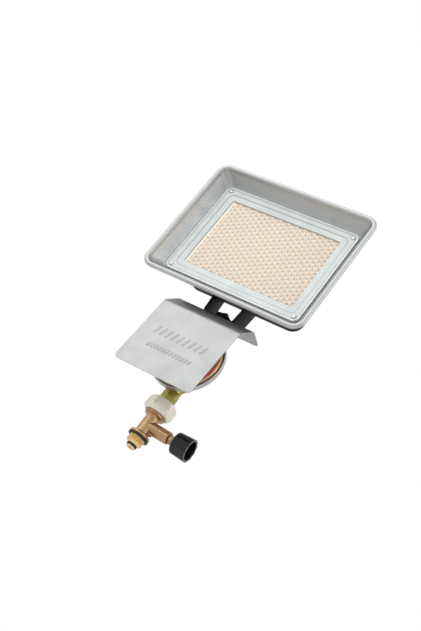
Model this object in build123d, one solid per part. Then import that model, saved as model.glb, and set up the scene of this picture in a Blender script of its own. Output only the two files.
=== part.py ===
from build123d import *
import math
import os

# Portable propane heater: an infrared burner head on a bracket, a heat shield, a
# diaphragm regulator and a cylinder valve, stacked on the gas axis. Millimetres.
# Origin: on the valve's inlet thread axis, at the seat of its washer. +Z runs up the
# gas axis, -Y is the heater's front and +X is to the right seen from the front.

# ---------------------------------------------------------------- driving dimensions
fit = 0.05                    # radial clearance of a part fitted into another
run = 0.06                    # radial clearance of a part that turns or slides
seat_gap = 0.02               # gap left at a face that opens and closes

# cylinder valve, cast brass
branch_yaw = 6.0              # turn of the valve's branch about the gas axis, degrees
inlet_r = 8.0                 # inlet thread, M16
inlet_length = 5.5
inlet_chamfer = 2.6
nose_drop = 11.5              # lowest point of the nose below the washer seat
nose_r = 4.6
nose_lip = 1.6
o_ring_r = 0.75
o_ring_seat_r = 3.8
washer_t = 1.8
washer_neck_r = 7.6           # plain neck above the thread, where the washer sits
base_flange_r = 10.4
base_flange_t = 2.8
barrel_r = 6.9
barrel_top = 24.8
collar_r = 10.2
collar_t = 2.8
outlet_r = 10.85              # outlet thread, W21.8 left hand
outlet_length = 5.6
branch_z = 14.5
branch_r = 6.2
branch_length = 25.5
branch_bore_r = 3.6
gas_bore_r = 1.5
link_bore_r = 1.2             # cross bore that joins the two rising bores
outlet_bore_r = 2.0
inlet_bore_offset = 3.6       # rising bore beside the valve seat
seat_x = -0.9
seat_lip_r = 2.1
seat_lip_h = 0.6
seat_hole_r = 1.2
lug_r = 2.2
lug_reach = 9.6
lug_z = 8.5

# valve spindle and knob, positions measured along the branch
pad_r = 2.6
pad_t = 1.5
holder_length = 5.1
socket_depth = 2.5
spindle_nose_r = 1.5
spindle_thread_length = 6.5
spindle_r = 2.0
spindle_end = 43.0
packing_x = 16.2
packing_t = 1.4
gland_length = 6.2            # hexagon outside the branch
gland_af = 8.5
gland_chamfer = 1.0           # radial, and along the axis
gland_chamfer_rise = 0.55
knob_start = 32.5
knob_length = 16.8
knob_r_inner = 10.6
knob_r_outer = 11.6
knob_recess_r = 9.3
knob_recess_depth = 8.3
knob_hub_r = 4.0
knob_hub_length = 2.2
knob_grooves = 10
knob_groove_r = 1.5
knob_edge = 0.8
screw_head_r = 2.6
screw_head_t = 1.6
screw_r = 1.1
screw_length = 5.0

# union nut and inlet stem
nut_gap = 0.4                 # above the valve's collar
flange_gap = 0.08             # between the stem's flange and the nut's shoulder
nut_af = 26.0
nut_height = 14.3
nut_turn = -35.0              # direction of one corner about the gas axis, degrees
nut_chamfer = 2.7
nut_chamfer_rise = 2.8
nut_notch = 1.0
seal_t = 1.2
seal_bore_r = 4.0
stem_flange_t = 3.1
stem_flange_r = 10.4
stem_shank_r = 6.8
stem_hex_af = 14.0
stem_hex_turn = -21.0
stem_hex_length = 11.8
stem_hex_chamfer = 1.2
stem_hex_chamfer_rise = 0.66
stem_bore_r = 2.0
stem_spigot_r = 5.0
stem_spigot_length = 5.0
filter_r = 3.0
filter_length = 6.0
filter_wall = 0.6

# regulator, its disc axis along Y
disc_z = 85.8
ring_r = 36.0
ring_back = -15.0
ring_depth = 5.6
ring_wall = 0.8
ring_lip = 2.8
clamp_t = 1.65                # body flange inside the crimped ring
diaphragm_t = 1.0
cover_t = 1.0
bowl_r = 29.5
bowl_back = -3.5
bowl_slope_w = 9.5            # slope between the bowl's side and its floor
bowl_slope_d = 7.0
body_back = 2.0
body_wall_r = 32.6
body_steps = ((2.1, 11.0), (6.6, 6.0), (12.6, 2.0), (20.6, 0.0))   # in from the wall, down from the back
inlet_boss_r = 7.4
inlet_boss_neck = 4.0         # straight length before the boss flares
inlet_boss_height = 12.0
inlet_boss_flare_w = 20.0     # half width and half depth where the boss meets the dome
inlet_boss_flare_d = 8.5
nozzle_boss_r = 6.3
nozzle_boss_top = 62.0
nozzle_r = 2.45
nozzle_head_r = 3.6
nozzle_head_t = 1.2
nozzle_tip_r = 1.5
nozzle_tip_h = 0.8
nozzle_hole_r = 0.7
outlet_y = -11.5              # burner and jet axis, in front of the inlet axis
outlet_boss_r = 8.0
outlet_thread_r = 6.0
outlet_thread_length = 9.0
outlet_passage_r = 2.0
flange_z = 133.6              # top of the regulator's outlet boss
cover_rim_r = 33.9
cover_dome_depth = 1.8
chimney_r = 12.6
chimney_wall = 1.7
chimney_front = -31.5
adjuster_t = 2.5
cap_r = 32.6
cap_edge_depth = 3.3
cap_crown = 8.9
cap_wall = 1.5

# regulator mechanism
travel = 2.0                  # diaphragm travel towards the front
plate_r = 20.0
plate_t = 0.85
spring_plate_r = 10.2
spring_plate_t = 0.95
rod_r = 1.4
spring_r = 8.4
spring_wire_r = 0.6
spring_turns = 4.0
pivot_y = 3.2
pivot_z = 68.5
pin_r = 1.0
pin_length = 13.0
lever_hub_r = 2.2
lever_hub_half = 4.0
lever_tip_y = -10.8
lever_tip_r = 1.5
lever_tip_half = 2.2
arm_t = 1.4
arm_w = 3.0
valve_pad_r = 2.2
valve_pad_t = 1.6
pad_cup_wall = 0.6
pocket_half = 5.0
pocket_gap = 0.8              # round the lever in its pocket
pocket_top = 80.0
house_wall = 1.5              # of the lever's housing round its pocket
house_edge_r = 2.5
hook_t = 1.0
hook_half = 2.5

# jet, bracket and heat shield
jet_af = 17.0
jet_height = 9.6
jet_cone_h = 3.4
jet_top_r = 3.3
jet_washer_t = 0.6
injector_r = 2.4
injector_rise = 1.2
injector_hole_r = 0.35
bracket_t = 2.0
bracket_w = 22.6
leg_half = 16.55              # mid-plane of a leg from the jet axis, at the foot
leg_splay = 4.4               # degrees
bracket_bend = 2.0
leg_flare = 3.2               # fillet between a leg's edges and the burner pan
leg_flare_h = 0.3
tab_w = 10.0
tab_rise = 2.4
shield_t = 1.0
shield_w = 87.2
shield_back = -3.1
shield_shoulder_y = -25.9     # fold between the flange and the sloping strip
shield_fold_y = -44.8         # fold between the strip and the face
shield_fold_z = 117.6
shield_fold_r = 3.0
shield_tilt = 4.6             # lower edge of the face forward, degrees
shield_bottom_z = 40.5
shield_corner_r = 4.0
flange_corner_r = 3.0
rib_h = 0.5
rib_r = 0.9
rib_rows = ((85.0, 9, 6.6, 9.5), (67.5, 12, 4.2, 5.0))   # height, count, pitch and length of each row
rib_lean = 20.0               # degrees from upright

# burner head, its centre on the plane X = 0
head_z = 213.0
sheet = 0.8
rim_y = -51.0
tray_w = 184.6
tray_h = 144.8
tray_corner_r = 13.0
bead_r = 2.5
floor_y = -34.4               # front face of the tray's floor
floor_corner_r = 6.0
hole_corner_r = 14.0
frame_corner_r = 6.0
frame_bead_w = 2.6
frame_bead_h = 0.8
step_lap = 0.8
window_corner_r = 1.5
rivet_r = 1.6
rivet_head_r = 2.4
rivet_head_h = 1.1
plaque_w = 132.0
plaque_h = 92.0
plaque_t = 13.0
plaque_corner_r = 1.0
window_lap = 3.0              # of the frame over the plaque's edge
hole_margin = 4.2             # from the plaque's edge to the hole in the tray's floor
frame_border = 11.5           # from the plaque's edge to the frame's edge
floor_margin = 1.1            # from the frame's edge to the tray's wall
rivet_inset_w = 5.7           # from the frame's side edges
rivet_inset_h = 5.35          # from the frame's top and bottom edges
gasket_wall = 2.3             # of the gasket between plaque and pan
pan_t = 1.0
pan_rear_w = 131.0
pan_rear_h = 93.5
pan_front_corner_r = 5.0
pan_corner_r = 12.0
pan_edge_r = 6.0
pan_back = 8.5
gasket_lip = 4.0
gasket_back_t = 1.2
baffle_t = 0.6
baffle_hole_r = 1.5
baffle_pitch = 8.0
tube_r = 6.8
tube_wall = 0.8
tube_flange_r = 7.2
tube_top = 222.0
tube_window = 7.0

# ---------------------------------------------------------------- derived positions
nose_z = -nose_drop
base_flange_top = washer_t + base_flange_t
collar_top = barrel_top + collar_t
outlet_top = collar_top + outlet_length
nut_bottom = collar_top + nut_gap
nut_top = nut_bottom + nut_height
seal_bottom = outlet_top + seat_gap
seal_top = seal_bottom + seal_t
stem_flange_top = seal_top + stem_flange_t
nut_shoulder = stem_flange_top + flange_gap
stem_hex_bottom = nut_top + 0.9
stem_hex_top = stem_hex_bottom + stem_hex_length
stem_top = stem_hex_top + stem_spigot_length

ring_front = ring_back - ring_depth
clamp_back = ring_back - ring_wall - fit
clamp_front = clamp_back - clamp_t
diaphragm_back = clamp_front - fit
diaphragm_front = diaphragm_back - diaphragm_t
cover_back = diaphragm_front - fit
cover_front = cover_back - cover_t
clamp_r = ring_r - ring_wall - fit
cover_shoulder_y = ring_front - 0.3
cover_dome_y = cover_shoulder_y - cover_dome_depth + cover_t
ring_top_z = disc_z + ring_r
adjuster_back = chimney_front + adjuster_t + 0.3
outlet_thread_top = flange_z + outlet_thread_length

shield_top = flange_z + shield_t
foot_top = shield_top + bracket_t
jet_top = foot_top + jet_height

window_w = plaque_w - 2 * window_lap
window_h = plaque_h - 2 * window_lap
floor_hole_w = plaque_w + 2 * hole_margin
floor_hole_h = plaque_h + 2 * hole_margin
frame_w = plaque_w + 2 * frame_border
frame_h = plaque_h + 2 * frame_border
floor_w = frame_w + 2 * floor_margin
floor_h = frame_h + 2 * floor_margin
rivet_span_w = frame_w - 2 * rivet_inset_w
rivet_span_h = frame_h - 2 * rivet_inset_h
pan_front_w = plaque_w + 2 * (gasket_wall + pan_t)
pan_front_h = plaque_h + 2 * (gasket_wall + pan_t)
frame_front = floor_y - sheet
recess_back = floor_y + sheet
plaque_back = recess_back + plaque_t
flange_back = recess_back + pan_t
gasket_back = plaque_back + gasket_back_t
ledge_front = gasket_back + baffle_t
pan_bottom_z = head_z - pan_rear_h / 2
pan_lip_z = head_z - pan_front_h / 2

lever_dz = disc_z - pivot_z
lever_dy = lever_tip_y - pivot_y
nozzle_top = nozzle_boss_top + nozzle_head_t + nozzle_tip_h
lever_swing = math.degrees(travel / lever_dz)
pad_shut = nozzle_top + seat_gap
hub_low = pivot_z - lever_hub_r - pocket_gap
hub_high = pivot_z + lever_hub_r + pocket_gap
hub_back = pivot_y + lever_hub_r + pocket_gap
pad_back = valve_pad_r + pad_cup_wall + pocket_gap
arm_back = pivot_y + (hub_high - pivot_z) * lever_dy / lever_dz + arm_t + pocket_gap


# ---------------------------------------------------------------- drawing helpers
def cyl_z(radius, z0, z1, x=0.0, y=0.0):
    return Pos(x, y, (z0 + z1) / 2) * Cylinder(radius, z1 - z0)


def cyl_y(radius, y0, y1, x=0.0, z=0.0):
    return Pos(x, (y0 + y1) / 2, z) * Rot(-90, 0, 0) * Cylinder(radius, y1 - y0)


def cyl_x(radius, x0, x1, y=0.0, z=0.0):
    return Pos((x0 + x1) / 2, y, z) * Rot(0, 90, 0) * Cylinder(radius, x1 - x0)


def block(x0, x1, y0, y1, z0, z1):
    return Pos((x0 + x1) / 2, (y0 + y1) / 2, (z0 + z1) / 2) * Box(x1 - x0, y1 - y0, z1 - z0)


def turned(points):
    """A solid of revolution about Z from (radius, height) points."""
    outline = Plane.XZ * make_face(Polyline(*points, close=True))
    return revolve(outline, axis=Axis.Z)


def turned_y(points, z=disc_z):
    """A solid of revolution about the Y direction at height z, from (radius, y) points."""
    return Pos(0, 0, z) * Rot(-90, 0, 0) * turned(points)


def hexagon(across_flats, z0, z1, turn=0.0):
    prism = extrude(RegularPolygon(across_flats / 2, 6, major_radius=False), z1 - z0)
    return Pos(0, 0, z0) * Rot(0, 0, turn) * prism


def chamfered_hexagon(across_flats, z0, z1, cut, rise, turn=0.0):
    corner = across_flats / math.sqrt(3)
    inner = corner - cut
    envelope = turned([
        (0, z0), (inner, z0), (corner, z0 + rise), (corner, z1 - rise), (inner, z1), (0, z1)])
    return hexagon(across_flats, z0, z1, turn) & envelope


def on_face(shape):
    """Stand a shape drawn on XY up behind the heater's front: its height runs along +Y."""
    return Pos(0, 0, head_z) * Rot(-90, 0, 0) * shape


def panel(width, height, corner, y0, y1):
    outline = RectangleRounded(width, height, corner)
    return on_face(Pos(0, 0, y0) * extrude(outline, y1 - y0))


def flared(size0, size1, y0, y1):
    """A block that runs from one rounded rectangle (w, h, corner) to another."""
    return on_face(loft([
        Pos(0, 0, y0) * RectangleRounded(*size0), Pos(0, 0, y1) * RectangleRounded(*size1)]))


def on_branch(shape):
    """Turn a shape drawn along +X at the gas axis into the valve branch's direction."""
    return Rot(0, 0, branch_yaw) * Pos(0, 0, branch_z) * shape


# ---------------------------------------------------------------- cylinder valve
def valve_body():
    thread_end = -inlet_length
    neck_z = nose_z + nose_lip
    ring_gap = 2 * o_ring_r + 0.4
    root_z = neck_z + ring_gap
    core = turned([
        (0, nose_z), (nose_r - 0.6, nose_z), (nose_r, nose_z + 0.6), (nose_r, neck_z),
        (o_ring_seat_r - fit, neck_z), (o_ring_seat_r - fit, root_z),
        (inlet_r - inlet_chamfer, root_z), (inlet_r, thread_end), (inlet_r, 0),
        (washer_neck_r, 0), (washer_neck_r, washer_t),
        (base_flange_r, washer_t), (base_flange_r, base_flange_top - 0.6),
        (base_flange_r - 0.6, base_flange_top), (barrel_r + 0.8, base_flange_top),
        (barrel_r, base_flange_top + 1.4), (barrel_r, barrel_top - 1.4),
        (barrel_r + 0.9, barrel_top), (collar_r - 0.5, barrel_top), (collar_r, barrel_top + 0.5),
        (collar_r, collar_top), (outlet_r, collar_top + 0.3), (outlet_r, outlet_top - 0.8),
        (outlet_r - 0.8, outlet_top), (0, outlet_top)])
    branch = cyl_x(branch_r, 0, branch_length)
    branch = chamfer(branch.edges().group_by(Axis.X)[-1], 0.6)
    lug = cyl_x(lug_r, 0, lug_reach, z=lug_z - branch_z)
    lug = fillet(lug.edges().group_by(Axis.X)[-1], 0.7)
    side = on_branch(branch + lug)
    bore = cyl_x(branch_bore_r, seat_x, branch_length + 1)
    seat = cyl_x(seat_lip_r, seat_x - 1, seat_x + seat_lip_h)
    seat_hole = cyl_x(seat_hole_r, -inlet_bore_offset, seat_x + seat_lip_h + 1)
    riser_low = lug_z - branch_z - gas_bore_r
    riser = cyl_z(gas_bore_r, riser_low, seat_hole_r + 0.4, x=-inlet_bore_offset)
    link = cyl_x(link_bore_r, -inlet_bore_offset, 0, z=lug_z - branch_z)
    cuts = on_branch((bore - seat) + seat_hole + riser + link)
    inlet_bore = cyl_z(gas_bore_r, nose_z - 1, lug_z + gas_bore_r)
    outlet_bore = cyl_z(outlet_bore_r, branch_z + branch_bore_r - 1.1, outlet_top + 1)
    return core + side - cuts - inlet_bore - outlet_bore


def inlet_washer():
    return cyl_z(base_flange_r, 0, washer_t) - cyl_z(washer_neck_r + fit, -1, washer_t + 1)


def tip_o_ring():
    height = nose_z + nose_lip + o_ring_r + 0.2
    return Pos(0, 0, height) * Torus(o_ring_seat_r + o_ring_r, o_ring_r)


def seat_pad():
    return on_branch(cyl_x(pad_r, pad_start, pad_start + pad_t))


def pad_holder():
    start = pad_start + 0.6
    end = start + holder_length
    body = cyl_x(branch_bore_r - run, start, end)
    pocket = cyl_x(pad_r + fit, start - 1, pad_start + pad_t + fit)
    socket = cyl_x(spindle_nose_r + fit, end - socket_depth, end + 1)
    return on_branch(body - pocket - socket)


def spindle():
    shoulder = pad_start + 0.6 + holder_length + fit
    nose = cyl_x(spindle_nose_r, shoulder - socket_depth + 0.2, shoulder)
    thread = cyl_x(branch_bore_r - run, shoulder, shoulder + spindle_thread_length)
    stem = cyl_x(spindle_r, shoulder, spindle_end)
    screw_hole = cyl_x(screw_r + fit, spindle_end - screw_length, spindle_end + 1)
    return on_branch(nose + thread + stem - screw_hole)


def gland_packing():
    ring = cyl_x(branch_bore_r - fit, packing_x, packing_x + packing_t)
    return on_branch(ring - cyl_x(spindle_r + run, 0, branch_length))


def gland_nut():
    start = packing_x + packing_t
    thread = cyl_x(branch_bore_r - fit, start, branch_length)
    head = chamfered_hexagon(gland_af, 0, gland_length, gland_chamfer, gland_chamfer_rise)
    head = Pos(branch_length, 0, 0) * Rot(0, 90, 0) * head
    bore = cyl_x(spindle_r + run, 0, branch_length + gland_length + 1)
    return on_branch(thread + head - bore)


def knob():
    end = knob_start + knob_length
    body = Rot(0, 90, 0) * turned([
        (0, knob_start), (knob_r_inner - knob_edge, knob_start), (knob_r_inner, knob_start + knob_edge),
        (knob_r_outer, end - knob_edge), (knob_r_outer - knob_edge, end), (0, end)])
    recess = cyl_x(knob_recess_r, end - knob_recess_depth, end + 1)
    hub = cyl_x(knob_hub_r, end - knob_recess_depth - 1, end - knob_recess_depth + knob_hub_length)
    body = body - recess + hub
    for k in range(knob_grooves):
        angle = 360 * k / knob_grooves
        groove = cyl_x(knob_groove_r, knob_start + 3, end + 1, y=knob_r_outer + 0.6)
        body = body - Rot(angle, 0, 0) * groove
    bore = cyl_x(spindle_r + fit, knob_start - 1, spindle_end)
    head_seat = cyl_x(screw_r + fit, spindle_end - 1, end)
    return on_branch(body - bore - head_seat)


def knob_screw():
    seat = knob_start + knob_length - knob_recess_depth + knob_hub_length
    head = cyl_x(screw_head_r, seat, seat + screw_head_t)
    head = fillet(head.edges().group_by(Axis.X)[-1], 0.7)
    shank = cyl_x(screw_r, seat - screw_length, seat)
    slot = block(seat + screw_head_t - 0.7, seat + screw_head_t + 1, -0.4, 0.4, -3, 3)
    cross = block(seat + screw_head_t - 0.7, seat + screw_head_t + 1, -1.6, 1.6, -0.4, 0.4)
    slot = slot & cyl_x(1.7, seat, seat + 5)
    return on_branch(head + shank - slot - cross)


# ---------------------------------------------------------------- union and inlet stem
def union_nut():
    body = chamfered_hexagon(nut_af, nut_bottom, nut_top, nut_chamfer, nut_chamfer_rise, nut_turn)
    thread = cyl_z(outlet_r + run, nut_bottom - 1, nut_shoulder)
    neck = cyl_z(stem_shank_r + run, nut_shoulder - 1, nut_top + 1)
    body = body - thread - neck
    corner = nut_af / math.sqrt(3)
    middle = (nut_bottom + nut_top) / 2
    for k in range(6):
        notch = Pos(corner, 0, middle) * Rot(0, 45, 0) * Box(nut_notch, 9, nut_notch)
        body = body - Rot(0, 0, nut_turn + 60 * k) * notch
    return body


def union_seal():
    ring = cyl_z(stem_flange_r - 0.4, seal_bottom, seal_top)
    return ring - cyl_z(seal_bore_r, seal_bottom - 1, seal_top + 1)


def inlet_stem():
    flange = cyl_z(stem_flange_r, seal_top, stem_flange_top)
    shank = cyl_z(stem_shank_r, seal_top, stem_hex_bottom)
    grip = chamfered_hexagon(
        stem_hex_af, stem_hex_bottom, stem_hex_top, stem_hex_chamfer, stem_hex_chamfer_rise, stem_hex_turn)
    spigot = cyl_z(stem_spigot_r, stem_hex_top, stem_top)
    passage = cyl_z(stem_bore_r, seal_top - 1, stem_top + 1)
    filter_bore = cyl_z(filter_r + fit, seal_top - 1, seal_top + filter_length)
    return flange + shank + grip + spigot - passage - filter_bore


def inlet_filter():
    cup = cyl_z(filter_r, seal_top, seal_top + filter_length - fit)
    return cup - cyl_z(filter_r - filter_wall, seal_top - 1, seal_top + filter_length - filter_wall)


# ---------------------------------------------------------------- regulator
def crimp_ring():
    inner = ring_r - ring_wall
    front_lip = ring_r - ring_lip + 1
    return turned_y([
        (ring_r - ring_lip, ring_back), (ring_r - 0.4, ring_back), (ring_r, ring_back - 0.4),
        (ring_r, ring_front + 0.4), (ring_r - 0.4, ring_front), (front_lip, ring_front),
        (front_lip, ring_front + ring_wall), (inner, ring_front + ring_wall),
        (inner, ring_back - ring_wall), (ring_r - ring_lip, ring_back - ring_wall)])


def outlet_boss():
    top = cyl_z(outlet_boss_r, ring_top_z + 0.8, flange_z, y=outlet_y)
    root = cyl_z(outlet_boss_r, disc_z + bowl_r - 6, ring_top_z + 0.8, y=outlet_y)
    behind_ring = block(-20, 20, ring_back + 0.1, 30, disc_z, flange_z)
    thread = cyl_z(outlet_thread_r, flange_z, outlet_thread_top, y=outlet_y)
    return top + (root & behind_ring) + thread


def inlet_boss():
    """The round boss that flares into the back of the dome."""
    middle = ring_back + 0.1 + inlet_boss_flare_d
    neck_top = stem_hex_top + inlet_boss_neck
    root = Pos(0, middle, stem_hex_top + inlet_boss_height) * Ellipse(
        inlet_boss_flare_w, inlet_boss_flare_d)
    neck = cyl_z(inlet_boss_r, stem_hex_top, neck_top)
    return neck + loft([Pos(0, 0, neck_top) * Circle(inlet_boss_r), root])


def lever_pocket():
    """The room for the valve pad, the lever's hub and its arm, behind the bowl's floor."""
    front = bowl_back - 1
    pad_room = block(-pocket_half, pocket_half, front, pad_back, nozzle_boss_top, hub_low)
    hub_room = block(-pocket_half, pocket_half, front, hub_back, hub_low, hub_high)
    arm_room = block(-pocket_half, pocket_half, front, arm_back, hub_high, pocket_top)
    return pad_room + hub_room + arm_room


def lever_housing():
    """The cast walls round the lever's pocket, wider where they hold its pin."""
    narrow = pocket_half + house_wall
    wide = pin_length / 2 + house_wall
    low = nozzle_boss_top - house_wall
    pad_walls = block(-narrow, narrow, bowl_back, pad_back + house_wall, low, hub_low)
    hub_walls = block(-wide, wide, bowl_back, hub_back + house_wall, hub_low - house_wall, hub_high + house_wall)
    arm_walls = block(-narrow, narrow, bowl_back, arm_back + house_wall, hub_high, pocket_top + house_wall)
    hub_walls = fillet(hub_walls.edges().group_by(Axis.Y)[-1], house_edge_r)
    return pad_walls + hub_walls + arm_walls


def regulator_body():
    dome = [(body_wall_r - inward, body_back - down) for inward, down in body_steps]
    shell = turned_y([
        (0, clamp_front), (clamp_r, clamp_front), (clamp_r, clamp_back),
        (body_wall_r, clamp_back), (body_wall_r, ring_back + 2), *dome, (0, body_back)])
    bowl = turned_y([
        (0, clamp_front - 1), (bowl_r, clamp_front - 1), (bowl_r, bowl_back - bowl_slope_d),
        (bowl_r - bowl_slope_w, bowl_back), (0, bowl_back)])
    nozzle_boss = cyl_z(nozzle_boss_r, stem_hex_top, nozzle_boss_top)
    hex_room = cyl_z(stem_hex_af / math.sqrt(3) + fit, stem_hex_bottom, stem_hex_top)
    inlet_bore = cyl_z(stem_spigot_r + fit, stem_hex_top - 1, stem_top + 0.2)
    nozzle_bore = cyl_z(nozzle_r + fit, stem_top - 1, nozzle_boss_top + 1)
    pin_bore = cyl_x(pin_r + fit, -pin_length / 2 - fit, pin_length / 2 + fit, y=pivot_y, z=pivot_z)
    passage = cyl_z(outlet_passage_r, disc_z + bowl_r - 8, outlet_thread_top + 1, y=outlet_y)
    body = (shell - hex_room) + inlet_boss() + outlet_boss() + lever_housing() - bowl + nozzle_boss
    return body - lever_pocket() - inlet_bore - nozzle_bore - pin_bore - passage


def inlet_nozzle():
    return turned([
        (nozzle_hole_r, stem_top + 0.3), (nozzle_r, stem_top + 0.3), (nozzle_r, nozzle_boss_top),
        (nozzle_head_r, nozzle_boss_top), (nozzle_head_r, nozzle_boss_top + nozzle_head_t),
        (nozzle_tip_r, nozzle_boss_top + nozzle_head_t), (nozzle_tip_r - 0.4, nozzle_top),
        (nozzle_hole_r, nozzle_top)])


def regulator_cover():
    bore = chimney_r - chimney_wall
    inside = cover_dome_y
    outside = cover_dome_y - cover_t
    return turned_y([
        (clamp_r, cover_back), (clamp_r, cover_front), (cover_rim_r, cover_front),
        (cover_rim_r, cover_shoulder_y + 0.3), (cover_rim_r - 0.6, cover_shoulder_y - 0.3),
        (cap_r + 0.4, outside), (chimney_r, outside), (chimney_r, chimney_front),
        (bore, chimney_front), (bore, inside), (bowl_r, inside), (bowl_r + 2, cover_back)])


def regulator_cap():
    seat = cover_dome_y - cover_t
    edge = seat - cap_edge_depth
    crown = edge - cap_crown
    outer = Pos(0, 0, disc_z) * Rot(-90, 0, 0) * dome_profile(cap_r, seat, edge, crown)
    inner = Pos(0, 0, disc_z) * Rot(-90, 0, 0) * dome_profile(
        cap_r - cap_wall, seat + 1, edge, crown + cap_wall)
    vent = cyl_y(1.0, crown - 5, seat, x=0, z=disc_z - 22)
    return outer - inner - vent


def dome_profile(radius, seat, edge, crown):
    """A disc whose side is straight from seat to edge and domed from there to the crown."""
    side = Polyline((0, crown), (0, seat), (radius, seat), (radius, edge))
    arc = ThreePointArc((radius, edge), (radius * 0.8, edge + (crown - edge) * 0.62), (0, crown))
    return revolve(Plane.XZ * make_face(Curve() + side + arc), axis=Axis.Z)


def diaphragm():
    disc = cyl_y(clamp_r, diaphragm_front, diaphragm_back, z=disc_z)
    return disc - cyl_y(rod_r + fit, diaphragm_front - 1, diaphragm_back + 1, z=disc_z)


def diaphragm_plate():
    back = diaphragm_back + fit
    disc = cyl_y(plate_r, back, back + plate_t, z=disc_z)
    return disc - cyl_y(rod_r + fit, back - 1, back + plate_t + 1, z=disc_z)


def spring_plate():
    front = diaphragm_front - fit
    disc = cyl_y(spring_plate_r, front - spring_plate_t, front, z=disc_z)
    disc = disc - cyl_y(rod_r + fit, front - spring_plate_t - 1, front + 1, z=disc_z)
    return disc


def diaphragm_stem():
    plate_back = diaphragm_back + fit + plate_t
    front = diaphragm_front - fit - spring_plate_t
    hook_front = lever_tip_y - lever_tip_r - 0.1 - hook_t
    hook_back = lever_tip_y + lever_tip_r + 0.2
    rod = cyl_y(rod_r, front - 1.0, hook_front + 0.5, z=disc_z)
    head = cyl_y(rod_r + 1.2, front - 1.0, front - fit, z=disc_z)
    collar = cyl_y(rod_r + 1.2, plate_back + fit, plate_back + 1.2, z=disc_z)
    bridge_z = disc_z + lever_tip_r + 0.9
    near = block(-hook_half, hook_half, hook_front, hook_front + hook_t, disc_z - 2.8, bridge_z + 1.8)
    far = block(-hook_half, hook_half, hook_back, hook_back + hook_t, disc_z - 0.6, bridge_z + 1.8)
    bridge = block(-hook_half, hook_half, hook_front, hook_back + hook_t, bridge_z, bridge_z + 1.8)
    return rod + head + collar + near + far + bridge


def regulator_spring():
    front = adjuster_back
    back = diaphragm_front - fit - spring_plate_t
    room = back - front - 2 * spring_wire_r - 2 * fit
    path = Helix(room / spring_turns, room, spring_r)
    wire = sweep(Plane(path @ 0, z_dir=path % 0) * Circle(spring_wire_r), path=path, is_frenet=True)
    return Pos(0, front + spring_wire_r + fit, disc_z) * Rot(-90, 0, 0) * wire


def adjusting_screw():
    disc = cyl_y(chimney_r - chimney_wall - fit, chimney_front + 0.3, adjuster_back, z=disc_z)
    slot = block(-6, 6, chimney_front, chimney_front + 1.2, disc_z - 0.7, disc_z + 0.7)
    return disc - slot


def lever():
    hub = cyl_x(lever_hub_r, -lever_hub_half, lever_hub_half, y=pivot_y, z=pivot_z)
    reach = math.hypot(lever_dy, lever_dz)
    lean = math.degrees(math.atan2(-lever_dy, lever_dz))
    arm = Pos(0, pivot_y, pivot_z) * Rot(lean, 0, 0) * block(
        -arm_w / 2, arm_w / 2, -arm_t / 2, arm_t / 2, 0, reach)
    tip = cyl_x(lever_tip_r, -lever_tip_half, lever_tip_half, y=lever_tip_y, z=disc_z)
    cup = cyl_z(valve_pad_r + pad_cup_wall, pad_shut + 0.5, pivot_z - 0.5)
    cup = cup + block(-valve_pad_r, valve_pad_r, 0, pivot_y, pivot_z - 1.8, pivot_z - 0.5)
    cup = cup - cyl_z(valve_pad_r + fit, pad_shut - 1, pad_shut + valve_pad_t + fit)
    bore = cyl_x(pin_r + run, -10, 10, y=pivot_y, z=pivot_z)
    return hub + arm + tip + from_shut(cup) - bore


def from_shut(shape):
    """Swing a shape drawn where the lever shuts the nozzle back to the lever's rest."""
    place = Pos(0, pivot_y, pivot_z)
    back = Pos(0, -pivot_y, -pivot_z)
    return place * Rot(-lever_swing, 0, 0) * back * shape


def lever_pin():
    return cyl_x(pin_r, -pin_length / 2, pin_length / 2, y=pivot_y, z=pivot_z)


def valve_pad():
    return from_shut(cyl_z(valve_pad_r, pad_shut, pad_shut + valve_pad_t))


# ---------------------------------------------------------------- jet, bracket and shield
def jet_holder():
    shoulder = jet_top - jet_cone_h
    body = hexagon(jet_af, foot_top, jet_top, 0)
    corner = jet_af / math.sqrt(3)
    envelope = turned([
        (0, foot_top), (corner - 1, foot_top), (corner, foot_top + 0.8), (corner, shoulder - 1.2),
        (jet_af / 2 - 1, shoulder), (jet_top_r + 0.6, jet_top - 0.8), (jet_top_r, jet_top), (0, jet_top)])
    body = Pos(0, outlet_y, 0) * (body & envelope)
    thread = cyl_z(outlet_thread_r + fit, foot_top - 1, outlet_thread_top + jet_washer_t, y=outlet_y)
    jet_bore = cyl_z(injector_r + fit, foot_top, jet_top + 1, y=outlet_y)
    return body - thread - jet_bore


def jet_washer():
    ring = cyl_z(outlet_thread_r - fit, outlet_thread_top, outlet_thread_top + jet_washer_t, y=outlet_y)
    return ring - cyl_z(injector_r, flange_z, jet_top, y=outlet_y)


def injector():
    start = outlet_thread_top + jet_washer_t
    body = cyl_z(injector_r, start, jet_top + injector_rise, y=outlet_y)
    body = chamfer(body.edges().group_by(Axis.Z)[-1], 0.7)
    gallery = cyl_z(1.2, start - 1, jet_top, y=outlet_y)
    return body - gallery - cyl_z(injector_hole_r, start, jet_top + 5, y=outlet_y)


def leg_mid(z):
    return leg_half + (z - foot_top) * math.tan(math.radians(leg_splay))


def leg_tab(side, spread):
    """The tongue at the top of a leg, or its slot when spread is the clearance."""
    middle = leg_mid(pan_bottom_z)
    lean = side * leg_splay
    tongue = Box(bracket_t - 0.4 + 2 * spread, tab_w + 2 * spread, 2 * tab_rise)
    return Pos(side * middle, outlet_y, pan_bottom_z) * Rot(0, lean, 0) * tongue


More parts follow.
